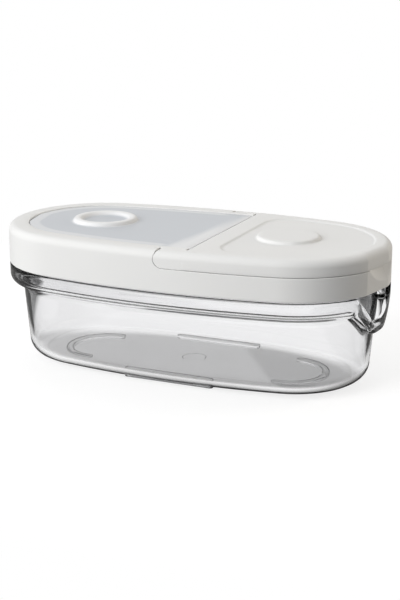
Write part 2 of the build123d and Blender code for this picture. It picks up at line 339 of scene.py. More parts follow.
def taper_edge(across, top, drop, top_half, low_half, round_radius):
    """Height of a trapezium's low edge: level, an arc, then the slanted flank."""
    across = np.abs(across)
    slope = np.arctan2(drop, top_half - low_half)
    tangent = round_radius * np.tan(slope / 2)
    start = low_half - tangent
    finish = low_half + tangent * np.cos(slope)
    bent = np.clip(across - start, 0, finish - start)
    arc = round_radius - np.sqrt(round_radius**2 - bent**2)
    flank = (np.maximum(across, finish) - low_half) * np.tan(slope)
    return top - drop + np.where(across > finish, flank, arc)


# %% the tub's profile at every station
stations = round_stations(0.8)
ahead = np.cos(stations) > 0.5
pocket = taper_edge(END_RADIUS * np.sin(stations - GRIP_TURN), FLANGE_LOW + FLANGE_ROUND,
                    drop=9.6 + FLANGE_ROUND, top_half=22.9, low_half=6.1, round_radius=7.0)
pocket = soft_least(pocket, FLANGE_LOW, 0.25)
dip = taper_edge(END_RADIUS * np.sin(stations - DIP_TURN), FLANGE_TOP,
                 drop=12.3, top_half=15.3, low_half=4.6, round_radius=5.0)
dip = soft_least(dip, FLANGE_TOP, 0.15)
under = np.where(ahead, np.minimum(pocket, FLANGE_LOW), FLANGE_LOW)
lip = np.where(ahead, np.minimum(dip, FLANGE_TOP), FLANGE_TOP)
raised = np.clip((under - under.min()) / (FLANGE_LOW - under.min()), 0, 1)
low_round = POCKET_ROUND + (FLANGE_ROUND - POCKET_ROUND) * raised


def flange_lean(height):
    """How much further in the pocket's outside lies at a height, as it leans like a mould's draft."""
    return np.maximum(FLANGE_LOW + FLANGE_ROUND - height, 0) * POCKET_LEAN * (under < FLANGE_LOW - 0.05)


def tub_rows():
    """Pairs (inset, height) along the profile; each is a row as long as the stations."""
    even = np.ones_like(stations)
    rows = []

    def put(inset, height):
        rows.append((inset * even, height * even))

    # the base's edge and the outer wall up to the flange
    foot_inset = wall_inset(BASE + BASE_ROUND) + BASE_ROUND
    put(foot_inset + 0.6, BASE)
    for c, s in zip(*arc_steps(-90, DRAFT, 9)):
        put(foot_inset - BASE_ROUND * c, BASE + BASE_ROUND + BASE_ROUND * s)
    wall_low, wall_high = BASE + BASE_ROUND + EDGE, under - EDGE
    for share in np.linspace(0.08, 1, 9):
        height = wall_low + share * (wall_high - wall_low)
        put(wall_inset(height), height)
    cosine, sine = arc_steps(0, 90, 4)
    for c, s in zip(cosine[1:], sine[1:]):
        put(wall_inset(under) - EDGE * (1 - c), under - EDGE + EDGE * s)
    # the flange's outside and its lip
    for c, s in zip(*arc_steps(-90, 0, 8)):
        height = under + low_round + low_round * s
        put(low_round * (1 - c) + flange_lean(height), np.minimum(height, lip - EDGE))
    for share in (0.3, 0.65):
        height = under + low_round + share * np.maximum(lip - EDGE - under - low_round, 0.0)
        put(flange_lean(height), np.minimum(height, lip - EDGE))
    for c, s in zip(*arc_steps(180, 0, 7)):
        put(flange_lean(lip) + WALL / 2 + (WALL / 2) * c, lip - EDGE + EDGE * s)
    # the channel inside the flange
    inner = np.maximum(low_round - WALL, EDGE)
    floor = under + WALL
    for share in (0.4, 0.8):
        height = lip - EDGE + share * (floor + inner - lip + EDGE)
        put(WALL + flange_lean(height), np.minimum(height, lip - EDGE))
    for c, s in zip(*arc_steps(0, -90, 5)):
        height = floor + inner + inner * s
        put(WALL + inner * (1 - c) + flange_lean(height), np.minimum(height, lip - EDGE))
    put(wall_inset(floor) - 0.1, floor)
    put(wall_inset(floor + 0.6), floor + 0.6)
    # the rim that enters the lid
    for share in (0.3, 0.7):
        height = floor + 0.6 + share * (RIM - 0.5 - floor - 0.6)
        put(wall_inset(height), height)
    for c, s in zip(*arc_steps(180, 0, 7)):
        put(WALL_INSET + WALL / 2 + (WALL / 2) * c, RIM - RIM_EDGE + RIM_EDGE * s)
    # down inside to the floor
    for share in np.linspace(0.06, 1, 12):
        height = RIM - RIM_EDGE + share * (FLOOR + INNER_ROUND - RIM + RIM_EDGE)
        put(wall_inset(height) + WALL, height)
    cosine, sine = arc_steps(DRAFT, -90, 8)
    floor_inset = wall_inset(FLOOR + INNER_ROUND) + WALL + INNER_ROUND
    for c, s in zip(cosine[1:], sine[1:]):
        put(floor_inset - INNER_ROUND * c, FLOOR + INNER_ROUND + INNER_ROUND * s)
    put(floor_inset + 0.6, FLOOR)
    return rows


profile = tub_rows()
insets = np.stack([row[0] for row in profile])
heights = np.stack([row[1] for row in profile])
x, y = outline(np.broadcast_to(stations, insets.shape), insets)
tub_points = np.stack([x, y, heights], axis=-1)
tub = grid_piece("tub", [(tub_points, False)], clear, "container", "container")

# %% [markdown]
# ## Feet and gate mark
# The base stands on four low ribs, two straight and two C-shaped, and has a round mark in its
# middle where the plastic went in. They are joined to the tub's mesh with Booleans, because in a
# clear body every inner face would show.

# %% the ribs under the base
def rib_loop(line_x, line_y, half):
    """A closed loop at half the rib's width round a centre line, with round ends."""
    dx, dy = np.gradient(line_x), np.gradient(line_y)
    size = np.hypot(dx, dy)
    heading = np.unwrap(np.arctan2(dy / size, dx / size))
    turn = np.linspace(np.pi / 2, -np.pi / 2, 9)[1:-1]
    centre = np.concatenate([np.arange(len(line_x)), np.full(7, len(line_x) - 1),
                             np.arange(len(line_x))[::-1], np.zeros(7, int)])
    facing = np.concatenate([heading + np.pi / 2, heading[-1] + turn,
                             heading[::-1] - np.pi / 2, heading[0] - np.pi + turn])
    return line_x[centre] + half * np.cos(facing), line_y[centre] + half * np.sin(facing)


def rib_points(line_x, line_y):
    """Rows of that loop from the rounded lower edge up into the tub's floor."""
    layers = ((1.25, 0.0), (1.4, 0.05), (1.62, 0.25), (1.7, 0.5), (1.7, 2.6))
    rows = []
    for half, height in layers:
        px, py = rib_loop(line_x, line_y, half)
        rows.append(np.stack([px, py, np.full_like(px, height)], axis=-1))
    return np.stack(rows)


def join_to(piece, tool_points, operation):
    """Joins or cuts a closed grid with the exact Boolean, and keeps the result as the mesh."""
    tool = grid_piece("tool", [(tool_points, False)], clear, "container")
    change = piece.modifiers.new("join", "BOOLEAN")
    change.object = tool
    change.operation = operation
    change.solver = "EXACT"
    bpy.context.view_layer.update()
    seen = piece.evaluated_get(bpy.context.evaluated_depsgraph_get())
    made = bpy.data.meshes.new_from_object(seen)
    piece.modifiers.clear()
    piece.data = made
    bpy.data.objects.remove(tool)


SIDE_RIB_HALF, SIDE_RIB_Y = 19.8, 28.6
END_RIB_X, END_RIB_RADIUS = 45.8, 16.9
GATE_RADIUS, GATE_DEPTH = 5.6, 0.35

along = np.linspace(-SIDE_RIB_HALF, SIDE_RIB_HALF, 12)
swing = np.radians(np.linspace(-90, 90, 40))
for side in (1, -1):
    join_to(tub, rib_points(along, np.full_like(along, side * SIDE_RIB_Y)), "UNION")
for end in (1, -1):
    line_x = end * (END_RIB_X + END_RIB_RADIUS * np.cos(swing))
    join_to(tub, rib_points(line_x, END_RIB_RADIUS * np.sin(swing)), "UNION")
turn = np.linspace(0, 2 * np.pi, 64, endpoint=False)
gate = [(GATE_RADIUS, 1.0), (GATE_RADIUS, BASE), (GATE_RADIUS - GATE_DEPTH, BASE + GATE_DEPTH)]
gate_points = [np.stack([r * np.cos(turn), r * np.sin(turn), np.full(64, z)], axis=-1) for r, z in gate]
join_to(tub, np.stack(gate_points), "DIFFERENCE")
tub.data.shade_smooth()
tub.data.set_sharp_from_angle(angle=SHARP)
print("tub faces", len(tub.data.polygons))

# %% [markdown]
# ## The lid's outline
# The lid follows the same oval, but a flat is cut across its pouring end, turned a little to one
# side. A point on it is therefore the nearer of two: the one on the round end and the one on the flat.

# %% the lid outline
LID_LOW, SEAM, LID_TOP, LID_ROUND = 46.0, 56.55, 63.9, 3.5
DECK_TOP, DECK_LOW = 56.3, 53.8
FACET = 41.5
FLAT_HALF = 12.46  # degrees from the flat's middle to its end


def lid_outline(facing, inset=0.0):
    """The oval at an inset, cut by the flat at the same inset."""
    x, y = outline(facing, inset)
    turned = turned_from(facing, FLAT_TURN)
    at_end = np.abs(turned) < 0.5
    flat = (FACET - inset) / np.cos(np.where(at_end, turned, 0))
    radius = np.minimum(END_RADIUS - inset, flat)
    x = np.where(at_end, END_CENTRE + radius * np.cos(facing), x)
    return x, np.where(at_end, radius * np.sin(facing), y)


# %% [markdown]
# ## Half outlines
# The window, the flap and the pouring hole are each a part of the oval, closed by a straight edge
# with two corners. Seen from a point inside, every direction meets such a loop once. So the rows
# of those pieces are loops read off in the same directions, and a D can turn into a circle.

# %% loops and their rows
def half_loop(inset, rear, corner):
    """Dense points of the outline beyond x = rear: the arc, a corner, the straight edge, a corner."""
    arc_radius = SIDE_RADIUS - inset - corner
    end = np.arccos((rear + corner) / arc_radius)
    corner_y = arc_radius * np.sin(end) - SIDE_CENTRE
    facing = np.linspace(-end, end, 2400)
    arc = lid_outline(facing, inset)
    turn = np.linspace(end, np.pi, 60)
    up = rear + corner + corner * np.cos(turn), corner_y + corner * np.sin(turn)
    line = np.full(300, rear), np.linspace(corner_y, -corner_y, 300)
    down = up[0][::-1], -up[1][::-1]
    return tuple(np.concatenate([arc[k], up[k], line[k], down[k]]) for k in (0, 1))


def reach_to(loop, centre, directions):
    """Distance from (centre, 0) to the loop in each direction, read between its dense points."""
    seen = np.arctan2(loop[1], loop[0] - centre)
    order = np.argsort(seen)
    far = np.hypot(loop[0] - centre, loop[1])
    return np.interp(directions, seen[order], far[order], period=2 * np.pi)


def directions_round(loop, centre, step, extra=()):
    """Directions of points one step of arc apart on the loop, and of some exact corners."""
    length = np.concatenate([[0], np.cumsum(np.hypot(*(np.diff(part) for part in loop)))])
    even = np.linspace(0, length[-1], int(length[-1] / step), endpoint=False)
    x, y = (np.interp(even, length, part) for part in loop)
    exact = [np.arctan2(py, px - centre) for px, py in extra]
    return np.unique(np.round(np.concatenate([np.arctan2(y, x - centre), exact]), 7))


def loop_rows(layers, centre, directions, mirror=1):
    """Rows of points: each layer is a loop, or the radius of a circle, and its height."""
    rows = []
    for shape, height in layers:
        far = reach_to(half_loop(*shape), centre, directions) if isinstance(shape, tuple) else shape
        far = far * np.ones_like(directions)
        x = mirror * (centre + far * np.cos(directions))
        rows.append(np.stack([x, far * np.sin(directions), height * np.ones_like(x)], axis=-1))
    return np.stack(rows)


# %% [markdown]
# ## The lid frame
# Its main body is one closed profile carried round the oval: the skirt, the groove for the seal
# and, on the left, the rounded top rim with a ledge for the window. On the right the same rows lie
# flat as the deck under the flap, and between the two halves the rim drops along the round notch
# that the flap's arm turns in. A ball-shaped hollow for the thumb is pressed into the flat.

# %% the frame's ring
NOTCH = 4.2
PIVOT_X, PIVOT_Z = 5.4, 60.5
FULL_X = 1.2  # the rim has its full height up to here
RELIEF_X = 1.8
SCOOP_HALF, SCOOP_DROP, BALL = 15.0, 6.2, 44.0
SCOOP_ARC = (SCOOP_HALF**2 + SCOOP_DROP**2) / (2 * SCOOP_DROP)
BALL_OUT = FACET + np.sqrt(BALL**2 - SCOOP_ARC**2)
BALL_Z = SEAM - SCOOP_DROP + SCOOP_ARC


def thumb_depth(facing, height):
    """How deep the ball reaches behind the lid's surface at that height, zero outside it."""
    turned = turned_from(facing, GRIP_TURN)
    x, y = lid_outline(facing)
    radius = np.hypot(x - END_CENTRE, y)
    inside = BALL**2 - (radius * np.sin(turned)) ** 2 - (height - BALL_Z) ** 2
    depth = radius * np.cos(turned) - BALL_OUT + np.sqrt(np.maximum(inside, 0))
    return np.where(np.abs(turned) < 0.5, np.maximum(depth, 0), 0)


def frame_stations():
    """Directions round the oval, closer together at the thumb hollow and at the two notches."""
    ends = np.degrees(FLAT_TURN) + np.array([-FLAT_HALF, FLAT_HALF])
    near_flat = np.radians(np.concatenate([np.linspace(-29, 17, 185), ends]))
    notch_x = PIVOT_X - NOTCH * np.cos(np.radians(np.linspace(2, 90, 16)))
    up = np.arccos(notch_x / SIDE_RADIUS)
    plain = round_stations(1.0)
    turned = turned_from(plain, GRIP_TURN)
    x = outline(plain)[0]
    at_notch = (np.abs(x - 3) < 3.2) & (np.abs(np.cos(plain)) < 0.1)
    keep = (np.abs(turned) > np.radians(23.2)) & ~at_notch
    start = np.arccos(FULL_X / SIDE_RADIUS)
    full_end = [start + 1e-5, 2 * np.pi - start - 1e-5]
    return np.unique(np.mod(np.concatenate([plain[keep], near_flat, up, -up, full_end]), 2 * np.pi))


facing = frame_stations()
station_x = lid_outline(facing)[0]
full = station_x < FULL_X
drop = np.sqrt(np.maximum(NOTCH**2 - (np.clip(station_x, FULL_X, PIVOT_X) - PIVOT_X) ** 2, 0))
limit = PIVOT_Z - drop
DECK_INSET = 9.5
inner_rows = [(DECK_INSET, 47.3), (9.2, 47.0), (8.45, 47.0), (8.2, 47.3), (8.2, 51.6), (5.4, 51.6),
              (5.4, 47.3), (5.15, 47.0), (4.35, 47.0), (4.1, 47.3), (4.1, DECK_LOW),
              (2.2, DECK_LOW), (2.2, 46.3), (1.9, LID_LOW)]
left_rows = [(6.5, 63.9), (9.0, 63.9), (9.22, 63.82), (9.3, 63.6), (9.3, 61.6), (13.4, 61.6),
             (13.4, 59.6), (7.4, 59.6), (7.4, 61.4), (2.2, 61.4), (2.2, DECK_TOP),
             (DECK_INSET, DECK_TOP)]
right_insets = [1.0, 2.0, 3.0, 4.0, 5.0, 5.8, 6.6, 7.4, 8.0, 8.6, 9.1, DECK_INSET]


def frame_profile():
    """Rows (inset, height) of the frame's ring, each as long as the stations."""
    even = np.ones_like(facing)
    small = 0.3
    rows = [(small * even, LID_LOW * even), (0 * even, (LID_LOW + small) * even)]
    wall_top = np.where(full, LID_TOP - LID_ROUND, limit - small)
    for share in np.linspace(0.06, 1, 22):
        rows.append((0 * even, LID_LOW + small + share * (wall_top - LID_LOW - small)))
    cosine, sine = arc_steps(0, 90, 10)
    radius = np.where(full, LID_ROUND, small)
    for c, s in zip(cosine[1:], sine[1:]):
        rows.append((radius * (1 - c), wall_top + radius * s))
    for (inset, height), other in zip(left_rows, right_insets):
        rows.append((np.where(full, inset, other), np.where(full, height, limit)))
    return rows + [(inset * even, height * even) for inset, height in inner_rows]


def frame_ring():
    """The profile set on the outline, the notch's edge curved and the thumb hollow pressed in."""
    rows = frame_profile()
    inset, height = (np.stack([row[k] for row in rows]) for k in (0, 1))
    at = np.broadcast_to(facing, inset.shape).copy()
    depth = thumb_depth(at, height)
    outer = np.arange(len(rows))[:, None] < len(rows) - len(inner_rows)
    pressed = depth + inset * (DECK_INSET - depth) / DECK_INSET
    inset = np.where(outer & (depth > 0), pressed, inset)
    inner_skirt = ~outer & (inset < 2.3) & (height < DECK_LOW)
    inset = np.where(inner_skirt & (depth > 0), np.minimum(depth + 1.6, 3.0), inset)
    x, y = lid_outline(at, inset)
    edge = full & (station_x > 1.0)
    bulge = np.minimum(np.sqrt(np.maximum(NOTCH**2 - (height - PIVOT_Z) ** 2, 0)), NOTCH)
    rear = np.where(height > PIVOT_Z, np.minimum(PIVOT_X - bulge, RELIEF_X), FULL_X - 0.01)
    x = np.where(edge[None, :] & outer, rear, x)
    return np.stack([x, y, height], axis=-1)


frame_ring_points = frame_ring()
print("frame ring rows and columns", frame_ring_points.shape[:2])


# %% [markdown]
# ## Parts of the frame inside the ring
# Strips of rim run on beside the flap's arms and hold the bores, a bar carries the window's straight
# edge, and a deck with a collar round the pouring hole closes the right half.

# %% bars, deck and the joined frame
def bar_points(section, start, stop, axis):
    """A closed section (two coordinates) carried straight along x or y between two places."""
    section = np.asarray(section, float)
    ends = np.array([start, stop])
    a = np.broadcast_to(section[:, 0], (2, len(section)))
    b = np.broadcast_to(section[:, 1], (2, len(section)))
    run = np.broadcast_to(ends[:, None], a.shape)
    return np.stack([run, a, b] if axis == "x" else [a, run, b], axis=-1)


def soft_corners(corners, radius, steps=4):
    """A polygon whose corners are replaced by short curves that start and end a radius away."""
    corners = np.asarray(corners, float)
    before, after = np.roll(corners, 1, axis=0), np.roll(corners, -1, axis=0)
    start = corners + radius * (before - corners) / np.linalg.norm(before - corners, axis=1)[:, None]
    stop = corners + radius * (after - corners) / np.linalg.norm(after - corners, axis=1)[:, None]
    t = np.linspace(0, 1, steps)[None, :, None]
    curve = (1 - t) ** 2 * start[:, None] + 2 * t * (1 - t) * corners[:, None] + t**2 * stop[:, None]
    return curve.reshape(-1, 2)


HOLE = (14.0, 27.0, 8.0)
HOLE_CENTRE = 50.0
DECK = (DECK_INSET, 15.5, 0.1)


def grown(amount):
    """The pouring hole's loop, grown all round by the amount."""
    return HOLE[0] - amount, HOLE[1] - amount, HOLE[2] + amount


def frame_parts():
    """Closed grids inside the ring: two strips, the window's bar and the deck."""
    strip = soft_corners([(37.12, DECK_TOP), (37.12, LID_TOP), (40.0, LID_TOP), (40.0, DECK_TOP)], 0.25)
    bar = soft_corners([(9.8, 59.6), (9.8, 61.6), (13.9, 61.6), (13.95, 61.2), (16.9, 61.2),
                        (16.9, 54.0), (14.5, 54.0), (14.5, 59.6)], 0.2)
    deck_directions = directions_round(half_loop(*DECK), HOLE_CENTRE, 1.0)
    deck = loop_rows([
        (DECK, DECK_LOW), (DECK, DECK_TOP), (grown(2.1), DECK_TOP),
        (grown(1.6), DECK_TOP + 0.15), (grown(1.5), DECK_TOP + 0.6), (grown(1.5), 59.8),
        (grown(1.3), 60.1), (grown(0.9), 60.2), (grown(0.5), 60.2), (grown(0.15), 60.05),
        (grown(0), 59.7), (grown(0), 54.3), (grown(0.3), DECK_LOW),
    ], HOLE_CENTRE, deck_directions)
    strips = [bar_points(strip * (side, 1), RELIEF_X, 13.9, "x") for side in (1, -1)]
    return strips + [bar_points(bar, -39.9, 39.9, "y")], deck


inner_parts, deck = frame_parts()
grid_piece(
    "lid_frame_shell",
    [(frame_ring_points, True), (deck, True)] + [(part, False) for part in inner_parts],
    white, "lid", "lid_frame",
)

# %% [markdown]
# ## The window
# A flat frosted panel with a raised ring. Its rows start in the middle of the underside, go out to
# the D-shaped edge, over it, and back in while the D turns into circles for the ring. The panel is
# painted paler over the ledge that carries it and near its straight edge, as painted light showing
# through from the white parts behind, and in the thick ring, as painted light scattered in it, so
# each point stores how much painted light it has.

# %% the window panel
RING_CENTRE = 45.1
PANEL_LOW, PANEL_TOP = 61.6, 63.6
PANEL = (9.5, -13.8, 0.5)
panel_edge = half_loop(*PANEL)
panel_directions = directions_round(panel_edge, RING_CENTRE, 0.8)
ring_profile = [(16.4, 0.0), (15.6, 0.06), (15.0, 0.3), (14.7, 0.8), (14.5, 1.35), (14.1, 1.75),
                (13.5, 1.95), (12.7, 2.0), (11.9, 1.9), (11.2, 1.6), (10.7, 1.1), (10.2, 0.6),
                (9.4, 0.25), (8.2, 0.08), (6.0, 0.0), (3.0, 0.0), (1.0, 0.0)]
panel_layers = [
    (1.0, PANEL_LOW), (8.0, PANEL_LOW), ((13.4, -9.8, 0.3), PANEL_LOW), ((9.9, -13.4, 0.5), PANEL_LOW),
    ((9.6, -13.7, 0.5), PANEL_LOW + 0.1), (PANEL, PANEL_LOW + 0.4),
    (PANEL, PANEL_TOP - 0.4), ((9.6, -13.7, 0.5), PANEL_TOP - 0.1),
    ((9.9, -13.4, 0.6), PANEL_TOP), ((11.5, -9.0, 1.0), PANEL_TOP), ((13.1, -5.1, 1.2), PANEL_TOP),
    ((13.9, -4.0, 1.4), PANEL_TOP), ((15.0, -2.5, 3.0), PANEL_TOP), ((20.0, 3.0, 8.0), PANEL_TOP),
    (19.0, PANEL_TOP),
] + [(radius, PANEL_TOP + rise) for radius, rise in ring_profile]
panel_points = loop_rows(panel_layers, RING_CENTRE, panel_directions, mirror=-1)
panel = grid_piece("window_sheet", [(panel_points, False)], frosted, "lid", "window_panel")
# painted light: how much paler the panel is painted over the ledge, near its straight edge and in the
# ring
LEDGE_PAINTED_LIGHT, STRAIGHT_PAINTED_LIGHT, RING_PAINTED_LIGHT = 0.43, 0.72, 0.95
BAND = 4.0  # width over which the painted light comes up
over_ledge = np.array([0, 0, 0] + [1] * 8 + [0.9] + [0] * (len(panel_layers) - 12))
radii = [shape if isinstance(shape, float) else 99.0 for shape, _ in panel_layers]
in_ring = np.interp(radii, [9.4, 10.7, 14.7, 15.8], [0.0, RING_PAINTED_LIGHT, RING_PAINTED_LIGHT, 0.0])
in_ring[:4] = 0
from_edge = panel_points[:, :, 0] - panel_points[:, :, 0].max()
rounded = 1 - np.clip((from_edge + 14.0) / BAND, 0, 1)
widening = 0.12 * (36.0 - panel_points[:, :, 1])
straight = np.clip((from_edge + widening) / BAND + 1, 0, 1)
# the painted light at each point, the most of the three
painted_through_light = np.maximum(over_ledge[:, None] * LEDGE_PAINTED_LIGHT * rounded, in_ring[:, None])
painted_through_light = np.maximum(painted_through_light, STRAIGHT_PAINTED_LIGHT * straight)
mask = panel.data.attributes.new("painted_through_light", "FLOAT", "POINT")
mask.data.foreach_set("value", painted_through_light.ravel().astype(np.float32))

# %% [markdown]
# ## The pour flap
# Its nose is made of loops round the middle of the raised disc: under the plate with the two ribs
# that hold the seal, down and round the rim, over the rounded top edge, down the small step of the
# recess and up onto the disc. The two arms are sections of the same rim, cut by the round knuckle.

# %% the flap's nose
DISC_CENTRE = 45.0
PLATE_LOW = 61.7
PLATE_ROWS = 14  # the first rows, up to the rim's root
REAR = 14.5
ARM_Y = 40.2
flap_edge = half_loop(0.0, REAR, 0.01)
rear_corner_y = float(np.abs(flap_edge[1][flap_edge[0] < REAR + 0.02]).max())
flat_ends = [np.ravel(lid_outline(FLAT_TURN + side * np.radians(FLAT_HALF))) for side in (1, -1)]
corners = [(REAR, side * y) for side in (1, -1) for y in (rear_corner_y, ARM_Y - 0.01, ARM_Y + 0.01)]
flap_directions = directions_round(flap_edge, DISC_CENTRE, 0.8, corners + [tuple(p) for p in flat_ends])


def flap_layers():
    """Loops from the middle of the underside out, round the rim and in to the middle of the disc."""
    layers = [(1.0, PLATE_LOW), (8.0, PLATE_LOW)]
    for inner, outer in ((-2.1, -0.8), (2.3, 3.6)):
        layers += [(grown(inner), PLATE_LOW), (grown(inner), 60.0), (grown(inner + 0.2), 59.8),
                   (grown(outer - 0.2), 59.8), (grown(outer), 60.0), (grown(outer), PLATE_LOW)]
    layers += [((3.0, REAR + 3, 0.5), PLATE_LOW), ((2.2, REAR + 2.2, 0.5), PLATE_LOW - 0.6),
               ((2.2, REAR + 2.2, 0.5), SEAM + 0.2), ((2.0, REAR + 2, 0.4), SEAM),
               ((0.25, REAR, 0.01), SEAM), ((0.06, REAR, 0.01), SEAM + 0.08),
               ((0.0, REAR, 0.01), SEAM + 0.3), ((0.0, REAR, 0.01), 58.0)]
    cosine, sine = arc_steps(0, 90, 12)
    for c, s in zip(cosine, sine):
        rear = REAR + 0.35 * max(0.0, s - 0.93) / 0.07
        layers.append(((LID_ROUND * (1 - c), rear, 0.01), LID_TOP - LID_ROUND + LID_ROUND * s))
    layers += [((5.0, REAR + 1.2, 0.4), LID_TOP), ((6.4, 23.2, 12.6), LID_TOP),
               ((6.9, 23.9, 12.3), LID_TOP - 0.04), ((7.25, 24.3, 12.1), LID_TOP - 0.16),
               ((7.55, 24.6, 12.0), LID_TOP - 0.38), ((7.9, 25.0, 12.0), LID_TOP - 0.54),
               ((8.5, 25.8, 12.0), LID_TOP - 0.6)]
    disc = [(15.2, -0.6), (14.6, -0.56), (14.1, -0.36), (13.85, 0.0), (13.7, 0.4), (13.45, 0.72),
            (13.0, 0.92), (12.3, 1.0), (10.0, 0.97), (6.0, 0.92), (1.0, 0.9)]
    return layers + [(radius, LID_TOP + rise) for radius, rise in disc]


def nose_points():
    """The nose's rows; between the arms its rear has no rim, so those heights stop at the plate."""
    points = loop_rows(flap_layers(), DISC_CENTRE, flap_directions)
    edge = reach_to(flap_edge, DISC_CENTRE, flap_directions)
    edge_x = DISC_CENTRE + edge * np.cos(flap_directions)
    between = (edge_x < REAR + 0.05) & (np.abs(edge * np.sin(flap_directions)) < ARM_Y)
    rim = np.arange(len(points)) > PLATE_ROWS
    raised = np.maximum(points[:, :, 2], PLATE_LOW)
    points[:, :, 2] = np.where(rim[:, None] & between, raised, points[:, :, 2])
    return points


# %% the flap's arms and pins
KNUCKLE = 3.95


def arm_points(side):
    """Sections across one arm from the round rear end to the nose: outer face, top, inner face."""
    swing = np.radians(np.linspace(1.5, 90, 22))
    x = np.concatenate([PIVOT_X - KNUCKLE * np.cos(swing), np.linspace(PIVOT_X, REAR, 8)[1:],
                        [REAR + 0.02, REAR + 0.8]])
    tuck = np.where(x > REAR, 0.03, 0.0)[:, None]
    half = np.sqrt(np.maximum(KNUCKLE**2 - np.minimum(x - PIVOT_X, 0) ** 2, 0))
    bottom, top = PIVOT_Z - half + tuck[:, 0], np.minimum(PIVOT_Z + half, LID_TOP) - tuck[:, 0]
    eased = 1 - 0.5 * np.cos(np.radians(np.linspace(0, 90, 14)))
    share = np.concatenate([[0.0, 0.04], np.linspace(0.1, 0.5, 6), eased])
    height = bottom[:, None] + share[None, :] * (top - bottom)[:, None]
    rise = np.clip(height - (LID_TOP - LID_ROUND), 0, LID_ROUND)
    inset = LID_ROUND - np.sqrt(np.maximum(LID_ROUND**2 - rise**2, 0))
    radius = SIDE_RADIUS - inset - tuck
    outer = np.sqrt(radius**2 - x[:, None] ** 2) - SIDE_CENTRE
    inner = np.full((len(x), 4), ARM_Y)
    third = 0.3 * (top - bottom)
    inner_height = np.stack([top, top - third, bottom + third, bottom], axis=-1)
    y = np.concatenate([outer, inner], axis=1)
    z = np.concatenate([height, inner_height], axis=1)
    return np.stack([np.broadcast_to(x[:, None], y.shape), side * y, z], axis=-1)


def pin_points(side):
    """A stub pin: circles about the pivot from inside the arm inward, its end chamfered."""
    turn = np.linspace(0, 2 * np.pi, 32, endpoint=False)
    runs = [(1.3, 41.0), (1.3, 38.3), (1.0, 38.0)]
    return np.stack([np.stack([PIVOT_X + r * np.cos(turn), np.full(32, side * y),
                               PIVOT_Z + r * np.sin(turn)], axis=-1) for r, y in runs])


flap_grids = [(nose_points(), False)]
flap_grids += [(make(side), False) for make in (arm_points, pin_points) for side in (1, -1)]
grid_piece("flap_shell", flap_grids, white, "flap", "pour_flap")

# %% [markdown]
# ## The seals
# Two soft rings: one lies in the lid's groove above the tub's rim, the other under the flap between
# its two ribs. Both have rounded corners, as extruded or moulded rubber has.

# %% seals
seal_turns = round_stations(1.2)
seal_section = soft_corners([(5.55, 49.4), (5.55, 51.6), (8.05, 51.6), (8.05, 49.4)], 0.4)
seal_inset = np.broadcast_to(seal_section[:, :1], (len(seal_section), len(seal_turns)))
seal_x, seal_y = outline(np.broadcast_to(seal_turns, seal_inset.shape), seal_inset)
seal_z = np.broadcast_to(seal_section[:, 1:], seal_inset.shape)
seal_points = np.stack([seal_x, seal_y, seal_z], axis=-1)
grid_piece("lid_seal_ring", [(seal_points, True)], soft, "lid", "lid_seal")

flap_seal_section = soft_corners([(-0.6, 60.3), (-0.6, 61.7), (2.1, 61.7), (2.1, 60.3)], 0.3)
flap_seal_rows = loop_rows([(grown(g), z) for g, z in flap_seal_section], DISC_CENTRE, flap_directions)
grid_piece("flap_seal_ring", [(flap_seal_rows, True)], soft, "flap", "flap_seal")

# %% [markdown]
# ## Floor, light and camera
# A pale floor carries on into the distance. Seen directly, it and the sky are white. Through the
# plastic they are white behind the object and dark to the sides, which draws the clear walls'
# edges; under the tub the floor's glow is turned down as a painted shadow of the tub, and further
# under the flap's half as a painted shadow of the flap. The light that reaches the object stays at
# a plain level.

# %% floor
SIDEWAYS, BEHIND, FRONT = (0.915, 0.403, 0.0), (-0.403, 0.915, 0.0), (0.403, -0.915, 0.0)
# painted shadow: seen through the plastic the floor glows less than seen directly, as the tub's shadow
# on it, and less again under the flap's half, as the flap's shadow
DIRECT_GLOW, TUB_SHADOW_GLOW, FLAP_SHADOW_GLOW = 0.77, 0.31, 0.17
FLAP_SHADE = (0.031, 0.036)  # metres along the slanted edge's normal, where the flap's shade starts
FADE_SEEN, FADE_THROUGH = (0.07, 0.2), (0.0285, 0.0385)  # metres from the middle of the object
DARK_SIDES = (0.093, 0.104)  # metres to either side, seen through the plastic
FLOOR_RADIUS, FLOOR_DROP = 3.0, 0.0001


